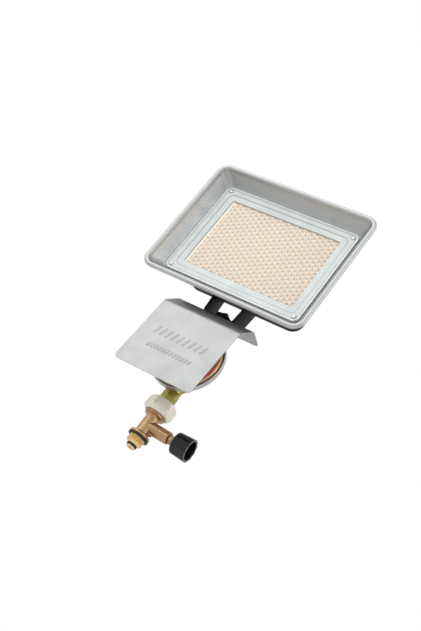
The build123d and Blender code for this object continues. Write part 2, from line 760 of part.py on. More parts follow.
def bracket():
    half = bracket_t / 2 / math.cos(math.radians(leg_splay))
    top = pan_bottom_z + 2
    outer_points = [
        (-leg_mid(top) - half, top), (-leg_mid(shield_top) - half, shield_top),
        (leg_mid(shield_top) + half, shield_top), (leg_mid(top) + half, top)]
    inner_points = [
        (-leg_mid(top) + half, top), (-leg_mid(foot_top) + half, foot_top),
        (leg_mid(foot_top) - half, foot_top), (leg_mid(top) - half, top)]
    outer = make_face(Polyline(*outer_points, close=True))
    inner = make_face(Polyline(*inner_points, close=True))
    outer = fillet(outer.vertices().group_by(Axis.Y)[0], bracket_bend + bracket_t)
    inner = fillet(inner.vertices().group_by(Axis.Y)[0], bracket_bend)
    reach = bracket_w + 2 * leg_flare
    strip = Pos(0, outlet_y + reach / 2, 0) * extrude(Plane.XZ * (outer - inner), reach)
    rear_z = pan_bottom_z - leg_flare_h
    front_z = pan_lip_z - leg_flare_h
    w = bracket_w / 2
    side_points = [
        (-w, shield_top), (w, shield_top), (w, rear_z), (w + leg_flare, rear_z), (w + leg_flare, top),
        (-w - leg_flare, top), (-w - leg_flare, front_z), (-w, front_z)]
    side = make_face(Polyline(*side_points, close=True))
    inner_corners = [v for v in side.vertices() if abs(abs(v.X) - w) < 0.01 and v.Y > shield_top + 1]
    side = fillet(inner_corners, leg_flare - 0.1)
    across = 2 * leg_mid(top) + 4 * bracket_t
    side = Pos(-across / 2, outlet_y, 0) * extrude(Plane.YZ * side, across)
    strip = (strip & side) - pan_envelope()
    strip = strip - cyl_z(outlet_thread_r + fit, shield_top - 1, foot_top + 1, y=outlet_y)
    return strip + leg_tab(-1, 0) + leg_tab(1, 0)


def shield_line(z):
    """Y of the shield face's front plane at height z."""
    return shield_fold_y + (z - shield_fold_z) * math.tan(math.radians(shield_tilt))


def inside_corner(before, corner, after, thickness):
    """The inner corner of a bent sheet, from three points of its outside."""
    first = (Vector(corner) - Vector(before)).normalized()
    second = (Vector(after) - Vector(corner)).normalized()
    inward = (second - first).normalized()
    half_turn = math.acos(first.dot(second)) / 2
    return Vector(corner) + inward * (thickness / math.cos(half_turn))


def heat_shield():
    low = shield_bottom_z
    depth = shield_t / math.cos(math.radians(shield_tilt))
    back = (shield_back, shield_top)
    shoulder = (shield_shoulder_y, shield_top)
    fold = (shield_fold_y, shield_fold_z)
    toe = (shield_line(low), low)
    inner_shoulder = inside_corner(back, shoulder, fold, shield_t)
    inner_fold = inside_corner(shoulder, fold, toe, shield_t)
    outer = make_face(Polyline(back, shoulder, fold, toe, (shield_back, low), close=True))
    inner = make_face(Polyline(
        (shield_back + 1, flange_z), inner_shoulder, inner_fold,
        (shield_line(low - 1) + depth, low - 1), (shield_back + 1, low - 1), close=True))
    outer = fillet([outer.vertices().sort_by_distance(p)[0] for p in (shoulder, fold)], shield_fold_r)
    inner_bends = [inner.vertices().sort_by_distance(p)[0] for p in (inner_shoulder, inner_fold)]
    inner = fillet(inner_bends, shield_fold_r - shield_t)
    sheet_part = Pos(-shield_w / 2, 0, 0) * extrude(Plane.YZ * (outer - inner), shield_w)
    short = [e for e in sheet_part.edges() if e.length < 1.5 * shield_t]
    low_corners = [e for e in short if e.center().Z < low + 2]
    back_corners = [e for e in short if e.center().Z > low + 2]
    sheet_part = fillet(low_corners, shield_corner_r)
    back_corners = [e for e in sheet_part.edges()
                    if e.length < 1.5 * shield_t and e.center().Y > shield_back - 0.1]
    sheet_part = fillet(back_corners, flange_corner_r)
    hole = cyl_z(outlet_thread_r + fit, flange_z - 1, shield_top + 1, y=outlet_y)
    return sheet_part - hole + pressed_ribs()


def pressed_ribs():
    """Two rows of plain slanted ribs pressed out of the shield's face."""
    ribs = Part()
    for height, count, pitch, length in rib_rows:
        for k in range(count):
            x = (k - (count - 1) / 2) * pitch
            place = Pos(x, shield_line(height), height) * Rot(-shield_tilt, 0, 0)
            rib = SlotCenterToCenter(length - 2 * rib_r, 2 * rib_r)
            upright = Plane.XZ * Rot(0, 0, 90 - rib_lean) * rib
            ribs = ribs + place * Pos(0, 0.3, 0) * extrude(upright, rib_h + 0.3)
    return ribs


# ---------------------------------------------------------------- burner head
def rim_path():
    inset = 2 * bead_r
    outline = RectangleRounded(tray_w - inset, tray_h - inset, tray_corner_r - bead_r)
    return (Pos(0, 0, rim_y + bead_r) * outline).wire()


def reflector_tray():
    bead_y = rim_y + bead_r
    wall_w = tray_w - 4 * bead_r
    wall_h = tray_h - 4 * bead_r
    wall_corner = tray_corner_r - 2 * bead_r
    outer = flared(
        (wall_w + 2 * sheet, wall_h + 2 * sheet, wall_corner + sheet),
        (floor_w + 2 * sheet, floor_h + 2 * sheet, floor_corner_r + sheet), bead_y, recess_back)
    inner = flared(
        (wall_w, wall_h, wall_corner), (floor_w, floor_h, floor_corner_r), bead_y, floor_y)
    path = rim_path()
    section_plane = Plane(path @ 0, z_dir=path % 0)
    section = Circle(bead_r) - Circle(bead_r - sheet)
    curl = on_face(sweep(section_plane * section, path=path))
    hole = panel(floor_hole_w, floor_hole_h, hole_corner_r, floor_y - 1, recess_back + 1)
    tray = outer - inner + curl - hole
    return tray - rivet_set(rivet_r + fit)


def frame_plate():
    bead = panel(frame_w, frame_h, frame_corner_r, frame_front - frame_bead_h, frame_front)
    bead_hole = panel(
        frame_w - 2 * frame_bead_w, frame_h - 2 * frame_bead_w, frame_corner_r - frame_bead_w,
        frame_front - frame_bead_h - 1, frame_front)
    plate = panel(frame_w, frame_h, frame_corner_r, frame_front, floor_y)
    step_w = floor_hole_w - 1.0
    step_h = floor_hole_h - 1.0
    step_hole = panel(
        step_w - 2 * step_lap, step_h - 2 * step_lap, hole_corner_r - step_lap, frame_front - 1, floor_y)
    lip = panel(step_w, step_h, hole_corner_r, floor_y, recess_back)
    window = panel(window_w, window_h, window_corner_r, floor_y - 1, recess_back + 1)
    frame = (bead - bead_hole) + (plate - step_hole) + (lip - window)
    return frame - rivet_set(rivet_r + fit)


def rivet_points():
    return [(sx * rivet_span_w / 2, head_z + sz * rivet_span_h / 2) for sx in (-1, 1) for sz in (-1, 1)]


def rivet_set(radius):
    """Plain shanks through the frame, the tray and the pan's flange."""
    shanks = [cyl_y(radius, frame_front - 0.01, flange_back + 0.01, x=x, z=z) for x, z in rivet_points()]
    return Part() + shanks


def frame_rivets():
    rivets = []
    for x, z in rivet_points():
        shank = cyl_y(rivet_r, frame_front - 0.2, flange_back + 0.2, x=x, z=z)
        dome = turned([
            (0, 0), (rivet_head_r, 0), (rivet_head_r, 0.25), (rivet_head_r * 0.72, rivet_head_h * 0.82),
            (rivet_head_r * 0.35, rivet_head_h), (0, rivet_head_h)])
        front = Pos(x, frame_front, z) * Rot(90, 0, 0) * dome
        back = Pos(x, flange_back, z) * Rot(-90, 0, 0) * dome
        rivets.append(shank + front + back)
    return Compound(children=rivets)


def ceramic_plaque():
    return panel(plaque_w, plaque_h, plaque_corner_r, recess_back, plaque_back)


def plaque_gasket():
    outer_w = pan_front_w - 2 * pan_t - 2 * fit
    outer_h = pan_front_h - 2 * pan_t - 2 * fit
    corner = pan_front_corner_r - pan_t - fit
    ring = panel(outer_w, outer_h, corner, recess_back, gasket_back)
    hole = panel(
        plaque_w + 2 * fit, plaque_h + 2 * fit, plaque_corner_r + fit, recess_back - 1, plaque_back)
    lip_hole = panel(
        plaque_w - 2 * gasket_lip, plaque_h - 2 * gasket_lip, plaque_corner_r, plaque_back - 1,
        gasket_back + 1)
    return ring - hole - lip_hole


def distributor_plate():
    outer_w = pan_front_w - 2 * pan_t - 4 * fit
    outer_h = pan_front_h - 2 * pan_t - 4 * fit
    sketch = RectangleRounded(outer_w, outer_h, pan_front_corner_r - pan_t)
    columns = int((pan_rear_w - 16) / baffle_pitch)
    rows = int((pan_rear_h - 16) / baffle_pitch)
    holes = GridLocations(baffle_pitch, baffle_pitch, columns, rows) * Circle(baffle_hole_r)
    sketch = sketch - holes
    return on_face(Pos(0, 0, gasket_back) * extrude(sketch, baffle_t))


def pan_envelope():
    """The burner pan's outside as a solid block."""
    front = panel(pan_front_w, pan_front_h, pan_front_corner_r, recess_back, ledge_front + pan_t)
    rear = panel(pan_rear_w, pan_rear_h, pan_corner_r, recess_back, pan_back)
    rear = fillet(rear.edges().group_by(Axis.Y)[-1], pan_edge_r)
    return front + rear


def burner_pan():
    flange = panel(frame_w, frame_h, frame_corner_r, recess_back, flange_back)
    front = panel(
        pan_front_w - 2 * pan_t, pan_front_h - 2 * pan_t, pan_front_corner_r - pan_t,
        recess_back - 1, ledge_front)
    rear = panel(
        pan_rear_w - 2 * pan_t, pan_rear_h - 2 * pan_t, pan_corner_r - pan_t,
        recess_back, pan_back - pan_t)
    rear = fillet(rear.edges().group_by(Axis.Y)[-1], pan_edge_r - pan_t)
    pan = pan_envelope() + flange - front - rear
    mouth = cyl_z(tube_r + fit, pan_bottom_z - 5, pan_bottom_z + 5, y=outlet_y)
    pan = pan - mouth - leg_tab(-1, fit) - leg_tab(1, fit)
    return pan - rivet_set(rivet_r + fit)


def mixing_tube():
    inside = pan_bottom_z + pan_t
    tube = cyl_z(tube_r, pan_bottom_z, tube_top, y=outlet_y)
    flange = cyl_z(tube_flange_r, inside, inside + 1.0, y=outlet_y)
    bore = cyl_z(tube_r - tube_wall, pan_bottom_z - 1, tube_top - tube_wall, y=outlet_y)
    windows = Part()
    for k in range(3):
        height = tube_top - 6 - k * (tube_window + 4)
        windows = windows + block(
            -20, 20, outlet_y - tube_window / 2, outlet_y + tube_window / 2,
            height - tube_window, height)
    return tube + flange - bore - windows


pad_start = seat_x + seat_lip_h + seat_gap

parts = {
    "valve_body": valve_body(),
    "inlet_washer": inlet_washer(),
    "tip_o_ring": tip_o_ring(),
    "seat_pad": seat_pad(),
    "pad_holder": pad_holder(),
    "spindle": spindle(),
    "gland_packing": gland_packing(),
    "gland_nut": gland_nut(),
    "knob": knob(),
    "knob_screw": knob_screw(),
    "union_nut": union_nut(),
    "union_seal": union_seal(),
    "inlet_stem": inlet_stem(),
    "inlet_filter": inlet_filter(),
    "regulator_body": regulator_body(),
    "crimp_ring": crimp_ring(),
    "inlet_nozzle": inlet_nozzle(),
    "regulator_cover": regulator_cover(),
    "regulator_cap": regulator_cap(),
    "adjusting_screw": adjusting_screw(),
    "regulator_spring": regulator_spring(),
    "diaphragm": diaphragm(),
    "diaphragm_plate": diaphragm_plate(),
    "spring_plate": spring_plate(),
    "diaphragm_stem": diaphragm_stem(),
    "lever": lever(),
    "lever_pin": lever_pin(),
    "valve_pad": valve_pad(),
    "jet_holder": jet_holder(),
    "jet_washer": jet_washer(),
    "injector": injector(),
    "bracket": bracket(),
    "heat_shield": heat_shield(),
    "reflector_tray": reflector_tray(),
    "frame_plate": frame_plate(),
    "frame_rivets": frame_rivets(),
    "ceramic_plaque": ceramic_plaque(),
    "plaque_gasket": plaque_gasket(),
    "distributor_plate": distributor_plate(),
    "burner_pan": burner_pan(),
    "mixing_tube": mixing_tube(),
}

os.makedirs("parts", exist_ok=True)
for name, shape in parts.items():
    export_step(shape, f"parts/{name}.step")
    print(name, len(shape.solids()), round(shape.volume, 1))
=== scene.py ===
import math
from contextlib import contextmanager

import bmesh
import bpy
import numpy as np
from mathutils import Matrix, Vector, noise


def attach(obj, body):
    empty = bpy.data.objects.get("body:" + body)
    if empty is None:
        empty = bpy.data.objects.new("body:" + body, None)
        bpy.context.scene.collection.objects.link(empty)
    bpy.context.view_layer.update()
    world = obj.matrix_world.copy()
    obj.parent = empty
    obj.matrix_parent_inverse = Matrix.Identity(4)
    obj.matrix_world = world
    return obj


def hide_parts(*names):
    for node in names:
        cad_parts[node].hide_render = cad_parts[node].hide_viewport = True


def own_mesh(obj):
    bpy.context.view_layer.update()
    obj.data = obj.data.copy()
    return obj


# The looks of a portable propane heater round its CAD part. Sizes are in millimetres,
# Blender's own units are metres, +Z is up along the inlet and the burner faces -Y.

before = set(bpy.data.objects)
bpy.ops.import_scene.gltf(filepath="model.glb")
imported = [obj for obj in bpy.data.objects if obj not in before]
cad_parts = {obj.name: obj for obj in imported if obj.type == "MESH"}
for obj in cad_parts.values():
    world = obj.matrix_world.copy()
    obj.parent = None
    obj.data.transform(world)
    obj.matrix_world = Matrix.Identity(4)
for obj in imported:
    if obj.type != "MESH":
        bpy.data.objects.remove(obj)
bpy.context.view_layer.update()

MM = 0.001
WELD = 0.002 * MM  # vertices of a CAD mesh that lie closer are one
X, Y, Z = range(3)

HEAD_Z = 213.0  # middle of the burner
FOOT_HALF = (78.6, 58.6)  # foot of the tray's walls, as half width and half height
FOOT_Y = -35.3
RIM_Y = -48.5  # middle of the tray's rolled rim
FRAME_HALF = (77.5, 57.5)
STEP_HALF_W = 69.7  # the frame steps back inside this
WINDOW_HALF_W = 63.0
SHEET_FRONT = -34.4  # front of the tray's floor, on which the frame lies
SHEET_BACK = -33.6
PLAQUE_SIZE = (132.0, 92.0)
RIDGE_PITCH = 4.85  # distance between the plaque's lines
PATTERN_LEFT = -60.4  # the plaque is plain to the left of this
SHIELD_TILT = math.radians(4.6)
DISC_Z = 85.8  # the regulator's axis runs along Y at this height
BRANCH_Z = 14.5  # the knob's axis, turned from X by BRANCH_YAW
BRANCH_YAW = math.radians(6.0)
KNOB_START, KNOB_END = 32.5, 49.3  # along that axis
BARREL_TOP = 24.8  # the valve's collar begins here

ABOUT_Y = Matrix.Translation((0, 0, DISC_Z)) @ Matrix.Rotation(math.radians(-90), 4, "X")
ALONG_BRANCH = (Matrix.Rotation(BRANCH_YAW, 4, "Z") @ Matrix.Translation((0, 0, BRANCH_Z))
                @ Matrix.Rotation(math.radians(90), 4, "Y"))


# ------------------------------------------------------------------ mesh helpers
@contextmanager
def edited(mesh):
    """The mesh as a bmesh that is written back at the end."""
    bm = bmesh.new()
    bm.from_mesh(mesh)
    yield bm
    bm.to_mesh(mesh)
    bm.free()


def mesh_object(name, verts, faces):
    """A new object from vertices in millimetres."""
    mesh = bpy.data.meshes.new(name)
    mesh.from_pydata([tuple(c * MM for c in v) for v in verts], [], faces)
    obj = bpy.data.objects.new(name, mesh)
    bpy.context.scene.collection.objects.link(obj)
    return obj


def finish_piece(obj, body, mat, node, angle):
    """Shade the piece smooth up to angle degrees and let it stand for its CAD node."""
    with edited(obj.data) as bm:
        bmesh.ops.remove_doubles(bm, verts=bm.verts, dist=1e-6)
        bmesh.ops.recalc_face_normals(bm, faces=bm.faces)
        for face in bm.faces:
            face.smooth = True
        for edge in bm.edges:
            if len(edge.link_faces) == 2:
                edge.smooth = edge.calc_face_angle(0.0) < math.radians(angle)
    obj.data.materials.clear()
    obj.data.materials.append(mat)
    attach(obj, body)
    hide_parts(node)


def make(name, verts, faces, body, mat, node, angle):
    """A finished piece from vertices in millimetres."""
    obj = mesh_object(name, verts, faces)
    finish_piece(obj, body, mat, node, angle)
    return obj


def loft(rings):
    """Vertices and quads through equal rings of points, with the last joined to the first."""
    n = len(rings[0])
    verts = [p for ring in rings for p in ring]
    faces = []
    for i in range(len(rings)):
        a, b = i * n, ((i + 1) % len(rings)) * n
        faces += [(a + j, a + (j + 1) % n, b + (j + 1) % n, b + j) for j in range(n)]
    return verts, faces


def rounded(half_w, half_h, r, y, corner=10):
    """Points round a rounded rectangle that faces the front, about the burner's middle."""
    points = []
    for k, (sx, sz) in enumerate(((1, 1), (-1, 1), (-1, -1), (1, -1))):
        for i in range(corner + 1):
            a = math.radians(90 * k + 90 * i / corner)
            x = sx * (half_w - r) + r * math.cos(a)
            points.append((x, y, HEAD_Z + sz * (half_h - r) + r * math.sin(a)))
    return points


def pressed_sheet(half, outline):
    """A closed outline led round a rounded rectangle of the given half sizes.

    Each point of the outline is a distance outside the rectangle, a y and a corner radius.
    """
    return loft([rounded(half[0] + out, half[1] + out, r, y) for out, y, r in outline])


def soften(points, radius, steps=4):
    """Round each corner of a closed outline of (a, b) points."""
    out = []
    n = len(points)
    for i in range(n):
        p, q, s = (np.array(points[j % n], float) for j in (i - 1, i, i + 1))
        u, v = p - q, s - q
        lu, lv = np.linalg.norm(u), np.linalg.norm(v)
        turn = math.acos(max(-1, min(1, float(u @ v) / (lu * lv))))
        if turn > math.radians(170):
            out.append(tuple(q))
            continue
        cut = min(radius / math.tan(turn / 2), 0.45 * lu, 0.45 * lv)
        a, b = q + u / lu * cut, q + v / lv * cut
        for k in range(steps + 1):
            t = k / steps
            out.append(tuple((1 - t) ** 2 * a + 2 * t * (1 - t) * q + t * t * b))
    return out


def spin(profile, n=96, wave=None):
    """A closed (radius, height) outline turned about Z. wave changes a radius by angle."""
    rings = []
    for k in range(n):
        a = 2 * math.pi * k / n
        ring = []
        for r, h in profile:
            rr = wave(r, h, a) if wave else r
            ring.append((rr * math.cos(a), rr * math.sin(a), h))
        rings.append(ring)
    return loft(rings)


def placed(verts, matrix):
    return [tuple(matrix @ Vector(v)) for v in verts]


def grid_faces(columns, rows):
    """Quads of a grid whose vertices are stored row by row."""
    return [(a, a + 1, a + columns + 1, a + columns)
            for j in range(rows - 1) for a in range(j * columns, (j + 1) * columns - 1)]


def grid_border(columns, rows):
    """The vertex numbers round the edge of such a grid."""
    last = columns - 1
    return (list(range(columns)) + [j * columns + last for j in range(1, rows)]
            + [(rows - 1) * columns + i for i in range(last - 1, -1, -1)]
            + [j * columns for j in range(rows - 2, 0, -1)])


def applied(obj):
    """Apply every modifier of obj to its mesh."""
    bpy.context.view_layer.update()
    graph = bpy.context.evaluated_depsgraph_get()
    mesh = bpy.data.meshes.new_from_object(obj.evaluated_get(graph))
    obj.modifiers.clear()
    obj.data = mesh


def copy_of(node, name):
    """A new object with a copy of the node's mesh."""
    obj = bpy.data.objects.new(name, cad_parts[node].data.copy())
    bpy.context.scene.collection.objects.link(obj)
    return obj


def broken_edges(node, name, width):
    """A copy of a machined or bent node with a small bevel on its sharp edges."""
    obj = copy_of(node, name)
    with edited(obj.data) as bm:
        flat = math.radians(0.4)
        bmesh.ops.remove_doubles(bm, verts=bm.verts, dist=WELD)
        bmesh.ops.dissolve_limit(bm, angle_limit=flat, verts=bm.verts, edges=bm.edges)
    bevel = obj.modifiers.new("edges", "BEVEL")
    bevel.width = width * MM
    bevel.segments = 2
    bevel.limit_method = "ANGLE"
    bevel.angle_limit = math.radians(35)
    bevel.use_clamp_overlap = True
    applied(obj)
    return obj


def machined(node, name, body, mat, width):
    obj = broken_edges(node, name, width)
    finish_piece(obj, body, mat, node, 32)


def cast(node, name, body, mat, voxel, rough, soft, shift=None):
    """A casting: the CAD form with soft edges and an uneven skin, except where shift moves it."""
    obj = copy_of(node, name)
    with edited(obj.data) as bm:
        bmesh.ops.remove_doubles(bm, verts=bm.verts, dist=WELD)
    remesh = obj.modifiers.new("skin", "REMESH")
    remesh.mode = "VOXEL"
    remesh.voxel_size = voxel * MM
    smooth = obj.modifiers.new("soft", "SMOOTH")
    smooth.iterations = soft
    smooth.factor = 0.5
    applied(obj)
    mesh = obj.data
    count = len(mesh.vertices)
    places = np.empty(count * 3)
    normals = np.empty(count * 3)
    mesh.vertices.foreach_get("co", places)
    mesh.vertex_normals.foreach_get("vector", normals)
    places = places.reshape(-1, 3) / MM
    normals = normals.reshape(-1, 3)
    for i in range(count):
        p = Vector(places[i])
        moved = shift(p) if shift else None
        if moved is None:
            push = rough * (noise.noise(p * 0.9) + 0.5 * noise.noise(p * 2.3) - 1.0)
            moved = p + Vector(normals[i]) * push
        places[i] = moved
    mesh.vertices.foreach_set("co", (places * MM).ravel())
    mesh.update()
    finish_piece(obj, body, mat, node, 60)


# ------------------------------------------------------------------ materials
class Nodes:
    """Short names for the nodes of one material."""

    def __init__(self, name):
        self.mat = bpy.data.materials.new(name)
        self.mat.use_nodes = True
        self.tree = self.mat.node_tree
        self.bsdf = next(n for n in self.tree.nodes if n.type == "BSDF_PRINCIPLED")
        self.coord = self.tree.nodes.new("ShaderNodeTexCoord").outputs["Object"]

    def link(self, a, b):
        self.tree.links.new(a, b)

    def put(self, socket, value):
        if isinstance(value, bpy.types.NodeSocket):
            self.link(value, socket)
        else:
            socket.default_value = value

    def math(self, kind, a, b=0.0, clamp=False):
        n = self.tree.nodes.new("ShaderNodeMath")
        n.operation = kind
        n.use_clamp = clamp
        self.put(n.inputs[0], a)
        self.put(n.inputs[1], b)
        return n.outputs[0]

    def dot(self, vector):
        n = self.tree.nodes.new("ShaderNodeVectorMath")
        n.operation = "DOT_PRODUCT"
        n.inputs[1].default_value = vector
        self.link(self.coord, n.inputs[0])
        return n.outputs["Value"]

    def stretched(self, scale):
        n = self.tree.nodes.new("ShaderNodeMapping")
        n.inputs["Scale"].default_value = scale
        self.link(self.coord, n.inputs["Vector"])
        return n.outputs[0]

    def noise(self, scale, detail, vector=None, rough=0.55):
        n = self.tree.nodes.new("ShaderNodeTexNoise")
        n.inputs["Scale"].default_value = scale
        n.inputs["Detail"].default_value = detail
        n.inputs["Roughness"].default_value = rough
        self.link(vector or self.coord, n.inputs["Vector"])
        return n.outputs["Fac"]

    def span(self, value, low, high, to_low, to_high):
        """value with low to high turned into to_low to to_high, and held beyond them."""
        n = self.tree.nodes.new("ShaderNodeMapRange")
        n.clamp = True
        for i, v in enumerate((value, low, high, to_low, to_high)):
            self.put(n.inputs[i], v)
        return n.outputs[0]

    def mix(self, factor, a, b):
        n = self.tree.nodes.new("ShaderNodeMix")
        n.data_type = "RGBA"
        self.put(n.inputs[0], factor)
        self.put(n.inputs[6], a if isinstance(a, bpy.types.NodeSocket) else (*a, 1.0))
        self.put(n.inputs[7], b if isinstance(b, bpy.types.NodeSocket) else (*b, 1.0))
        return n.outputs[2]

    def axis(self, which):
        n = self.tree.nodes.new("ShaderNodeSeparateXYZ")
        self.link(self.coord, n.inputs[0])
        return n.outputs[which]

    def fade(self, which, low, high, to_low, to_high):
        """A change from to_low to to_high between two places in millimetres on an axis."""
        return self.span(self.axis(which), low * MM, high * MM, to_low, to_high)

    def bump(self, height, strength, distance):
        n = self.tree.nodes.new("ShaderNodeBump")
        n.inputs["Strength"].default_value = strength
        n.inputs["Distance"].default_value = distance * MM
        self.link(height, n.inputs["Height"])
        self.link(n.outputs[0], self.bsdf.inputs["Normal"])

    def crevice(self, reach):
        """Near 1 in a corner and 0 in the open."""
        n = self.tree.nodes.new("ShaderNodeAmbientOcclusion")
        n.samples = 8
        n.inputs["Distance"].default_value = reach * MM
        return self.math("SUBTRACT", 1.0, n.outputs["AO"], True)

    def wear(self):
        """Near 1 along sharp convex edges of a fine mesh."""
        n = self.tree.nodes.new("ShaderNodeNewGeometry")
        return self.span(n.outputs["Pointiness"], 0.52, 0.6, 0.0, 1.0)

    def surface(self, colour, roughness, metallic=0.0, specular=0.5):
        self.put(self.bsdf.inputs["Base Color"], colour)
        self.put(self.bsdf.inputs["Roughness"], roughness)
        self.bsdf.inputs["Metallic"].default_value = metallic
        self.bsdf.inputs["Specular IOR Level"].default_value = specular
        return self.mat


def sheet_metal(name, light, dark, rough, metallic, grain=0.2, relief=0.1, zones=None):
    """Plated sheet: broad mottling, a fine grain and, through zones, colours laid over a place."""
    n = Nodes(name)
    broad = n.noise(14.0, 3.0)
    fine = n.noise(900.0, 3.0)
    colour = n.mix(n.span(broad, 0.35, 0.7, 0.0, 1.0), light, dark)
    colour = n.mix(n.span(fine, 0.3, 0.8, 0.0, grain), colour, dark)
    for mask, tint in (zones(n) if zones else ()):
        colour = n.mix(mask, colour, tint)
    rough_map = n.span(n.noise(60.0, 4.0), 0.3, 0.7, rough - 0.05, rough + 0.07)
    n.bump(fine, relief, 0.05)
    return n.surface(colour, rough_map, metallic)


def beyond(n, half_w, half_h, width):
    """0 inside a rectangle on the burner's front and 1 from width beyond it."""
    across = n.math("SUBTRACT", n.math("ABSOLUTE", n.axis(X)), half_w * MM)
    height = n.math("SUBTRACT", n.axis(Z), HEAD_Z * MM)
    up = n.math("SUBTRACT", n.math("ABSOLUTE", height), half_h * MM)
    return n.span(n.math("MAXIMUM", across, up), 0.0, width * MM, 0.0, 1.0)


def tray_zones(n):
    """Warm heat haze on the walls, cooler metal towards their foot, painted light along the very
    foot and a paler rolled rim.
    """
    haze = n.span(n.noise(26.0, 2.0), 0.38, 0.66, 0.5, 0.9)
    high = n.fade(Y, RIM_Y + 2.0, RIM_Y + 9.5, 0.7, 0.0)
    cool = n.fade(Y, FOOT_Y - 6.7, FOOT_Y - 2.2, 0.0, 0.7)
    # Painted light: the foot of the walls is made paler where shade falls in the gap beside the
    # frame.
    foot = n.fade(Y, FOOT_Y - 1.9, FOOT_Y - 0.3, 0.0, 1.0)
    rim = n.fade(Y, RIM_Y - 0.7, RIM_Y + 0.7, 1.0, 0.0)
    return ((n.math("MULTIPLY", high, haze), (0.435, 0.42, 0.385)),
            (cool, (0.44, 0.47, 0.475)),
            (foot, (0.50, 0.53, 0.53)),
            (rim, (0.525, 0.53, 0.525)))


def frame_zones(n):
    """A painted highlight along the outer edge, and painted shade in the foot of the step and of the
    bead.
    """
    # Painted shade: darker in the foot of the step and of the bead, where the AO node finds nearby
    # surfaces.
    dust_and_shade = n.span(n.crevice(1.6), 0.12, 0.42, 0.0, 0.55)
    # Painted highlight: a pale band round the outer edge of the bead.
    edge = beyond(n, FRAME_HALF[0] - 1.6, FRAME_HALF[1] - 1.6, 0.8)
    return ((n.math("MULTIPLY", edge, 0.8), (0.78, 0.80, 0.79)),
            (dust_and_shade, (0.22, 0.24, 0.25)))


def painted_black():
    n = Nodes("black_stove_enamel")
    broad = n.noise(40.0, 3.0)
    fine = n.noise(700.0, 2.0)
    colour = n.mix(n.span(broad, 0.3, 0.7, 0.0, 1.0), (0.005, 0.005, 0.006), (0.010, 0.009, 0.011))
    # Painted shade: the enamel is darkened further in its corners and recesses.
    colour = n.mix(n.span(n.crevice(3.0), 0.3, 0.9, 0.0, 0.5), colour, (0.003, 0.003, 0.003))
    n.bump(fine, 0.25, 0.05)
    return n.surface(colour, n.span(broad, 0.3, 0.7, 0.42, 0.55), 0.0, 0.2)


def plaque_ceramic():
    """Lines of low ridges in three directions with three rows of pores to each line, with painted
    highlights on two sets of lines, painted shade in the pits, heaviest on one side of each, and
    painted shade in the pores.
    """
    n = Nodes("infrared_ceramic")
    wave = 2 * math.pi / (RIDGE_PITCH * MM)
    lines = []
    holes = []
    for k in range(3):
        a = math.radians(60 * k)
        along = n.dot((wave * math.cos(a), 0.0, wave * math.sin(a)))
        phase = n.math("SUBTRACT", along, wave * HEAD_Z * MM * math.sin(a))
        lines.append(n.math("COSINE", phase))
        holes.append(n.math("COSINE", n.math("MULTIPLY", phase, 3.0)))
    lit_lines = n.math("MAXIMUM", lines[0], lines[1])
    shaded_side = n.math("MULTIPLY", n.math("SINE", phase), -1.0)
    ridges = n.math("MAXIMUM", lit_lines, lines[2])
    pores = n.math("ADD", n.math("ADD", holes[0], holes[1]), holes[2])
    crest_highlight = n.span(lit_lines, 0.7, 0.95, 0.0, 1.0)
    pit_shade_mask = n.span(ridges, 0.6, 0.9, 1.0, 0.0)
    painted_pit_shade = n.math("MULTIPLY", pit_shade_mask, n.span(shaded_side, -0.2, 0.8, 0.15, 1.0))
    pore = n.span(pores, 1.2, 2.5, 0.0, 1.0)
    dust_and_shade = n.noise(240.0, 4.0)
    broad = n.noise(22.0, 2.0)
    border = n.fade(X, PATTERN_LEFT - 0.2, PATTERN_LEFT + 0.4, 1.0, 0.0)
    colour = n.mix(n.span(dust_and_shade, 0.3, 0.7, 0.0, 0.5), (0.95, 0.83, 0.695), (0.87, 0.73, 0.59))
    colour = n.mix(n.span(broad, 0.35, 0.7, 0.0, 0.3), colour, (0.92, 0.77, 0.66))
    # Painted shade in the pits, heaviest on the side below each ridge of the third set.
    colour = n.mix(n.math("MULTIPLY", painted_pit_shade, 0.62), colour, (0.52, 0.40, 0.30))
    # Painted shade in the pores.
    colour = n.mix(n.math("MULTIPLY", pore, 0.3), colour, (0.30, 0.20, 0.13))
    # Painted highlight on the crests of two of the three sets of lines.
    colour = n.mix(n.math("MULTIPLY", crest_highlight, 0.6), colour, (1.0, 0.93, 0.83))
    colour = n.mix(border, colour, (1.0, 0.93, 0.80))
    n.bump(dust_and_shade, 0.35, 0.15)
    return n.surface(colour, 0.85, 0.0, 0.25)


def cast_brass(name, light, dark, corner_colour, rough, bright=None, brown=None, dirt=0.85):
    """bright and brown are the colours of the inlet below the washer and of the collar."""
    n = Nodes(name)
    speck = n.noise(420.0, 5.0, rough=0.7)
    broad = n.noise(70.0, 3.0)
    colour = n.mix(n.span(speck, 0.35, 0.68, 0.0, 0.6), light, dark)
    colour = n.mix(n.span(broad, 0.45, 0.7, 0.0, 0.35), colour, dark)
    if bright:
        colour = n.mix(n.fade(Z, -0.3, 0.0, 1.0, 0.0), colour, bright)
        colour = n.mix(n.fade(Z, BARREL_TOP, BARREL_TOP + 0.3, 0.0, 1.0), colour, brown)
    colour = n.mix(n.span(n.crevice(4.0), 0.2, 0.8, 0.0, dirt), colour, corner_colour)
    n.bump(speck, 0.2, 0.1)
    return n.surface(colour, n.span(speck, 0.3, 0.7, rough - 0.06, rough + 0.14), 1.0)


